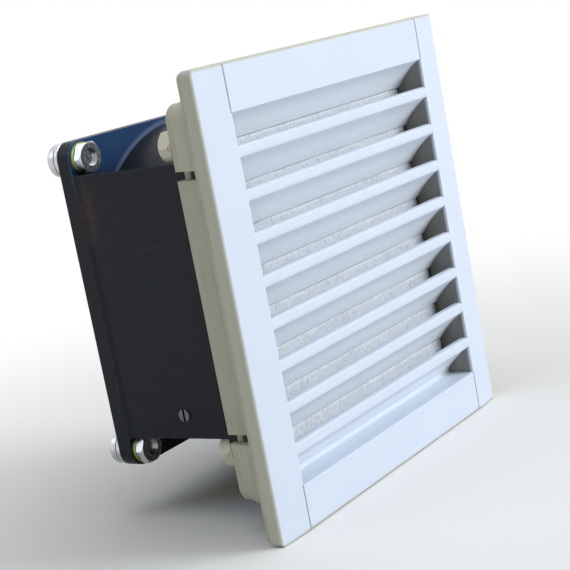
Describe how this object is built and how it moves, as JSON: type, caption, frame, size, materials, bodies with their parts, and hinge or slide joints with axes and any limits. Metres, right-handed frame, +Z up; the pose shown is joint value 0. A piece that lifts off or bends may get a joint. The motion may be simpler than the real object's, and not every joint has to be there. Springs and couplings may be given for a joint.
{
  "type": "enclosure filter fan",
  "caption": "Panel-mounted filter fan: square louvred cover over a filter mat and a latched base, with an axial fan, its motor and a wire finger guard behind.",
  "frame": {"origin": "centre of the square panel cut-out, in the plane of the panel's outer face", "axes": "+X to the right seen from the front, +Y into the enclosure along the fan's axis, +Z up"},
  "size_m": [0.105, 0.0585, 0.105],
  "materials": {
    "cover_plastic": "satin",
    "base_plastic": "satin",
    "filter_fleece": "fibrous",
    "gasket_foam": "matte",
    "housing_black": "semi-gloss",
    "block_black": "satin",
    "tinned_tab": "satin",
    "lead_insulation": "satin",
    "steel_bright": "polished",
    "tube_brass": "machined",
    "stator_steel": "laminated",
    "former_nylon": "satin",
    "copper_winding": "enamelled",
    "rotor_alloy": "cast",
    "rotor_steel": "satin",
    "blade_black": "satin",
    "plate_foil": "satin",
    "nylon_fixings": "satin",
    "guard_wire": "plated",
    "yellow_zinc": "passivated",
    "fibre_washer": "matte"
  },
  "bodies": {
    "base": {"base_frame": "base_plastic", "panel_gasket": "gasket_foam", "front_flange": "housing_black", "fan_duct": "housing_black", "side_walls": "housing_black", "rear_flange": "housing_black", "motor_carrier": "housing_black", "side_terminal_block": "block_black", "terminal_tabs": "tinned_tab", "lead_wires": "lead_insulation", "earth_screw": "steel_bright", "bearing_tube": "tube_brass", "front_bearing": "steel_bright", "rear_bearing": "steel_bright", "stator_core": "stator_steel", "coil_formers": "former_nylon", "stator_coils": "copper_winding", "rating_plate": "plate_foil", "fan_screws": "nylon_fixings", "fan_washers": "nylon_fixings", "fan_nuts": "nylon_fixings", "finger_guard": "guard_wire", "guard_screws": "steel_bright", "guard_washers": "yellow_zinc", "guard_nuts": "steel_bright"},
    "rotor": {"rotor_shaft": "steel_bright", "rotor_cup": "rotor_steel", "rotor_ring": "rotor_alloy", "impeller": "blade_black", "preload_washer": "steel_bright", "thrust_washer": "fibre_washer", "retaining_clip": "steel_bright"},
    "cover": {"grille_cover": "cover_plastic"},
    "mat": {"filter_mat": "filter_fleece"}
  },
  "joints": [
    {"name": "rotor_spin", "type": "hinge", "parent": "base", "child": "rotor", "pos_m": [0, 0.025, 0], "axis": [0, 1, 0], "continuous": true},
    {"name": "cover_slide", "type": "slide", "parent": "base", "child": "cover", "axis": [0, -1, 0], "range_m": [0, 0.03]},
    {"name": "mat_slide", "type": "slide", "parent": "base", "child": "mat", "axis": [0, -1, 0], "range_m": [0, 0.015]}
  ],
  "couplings": [
    {"joint": "mat_slide", "follows": "cover_slide", "ratio": 0.5}
  ]
}
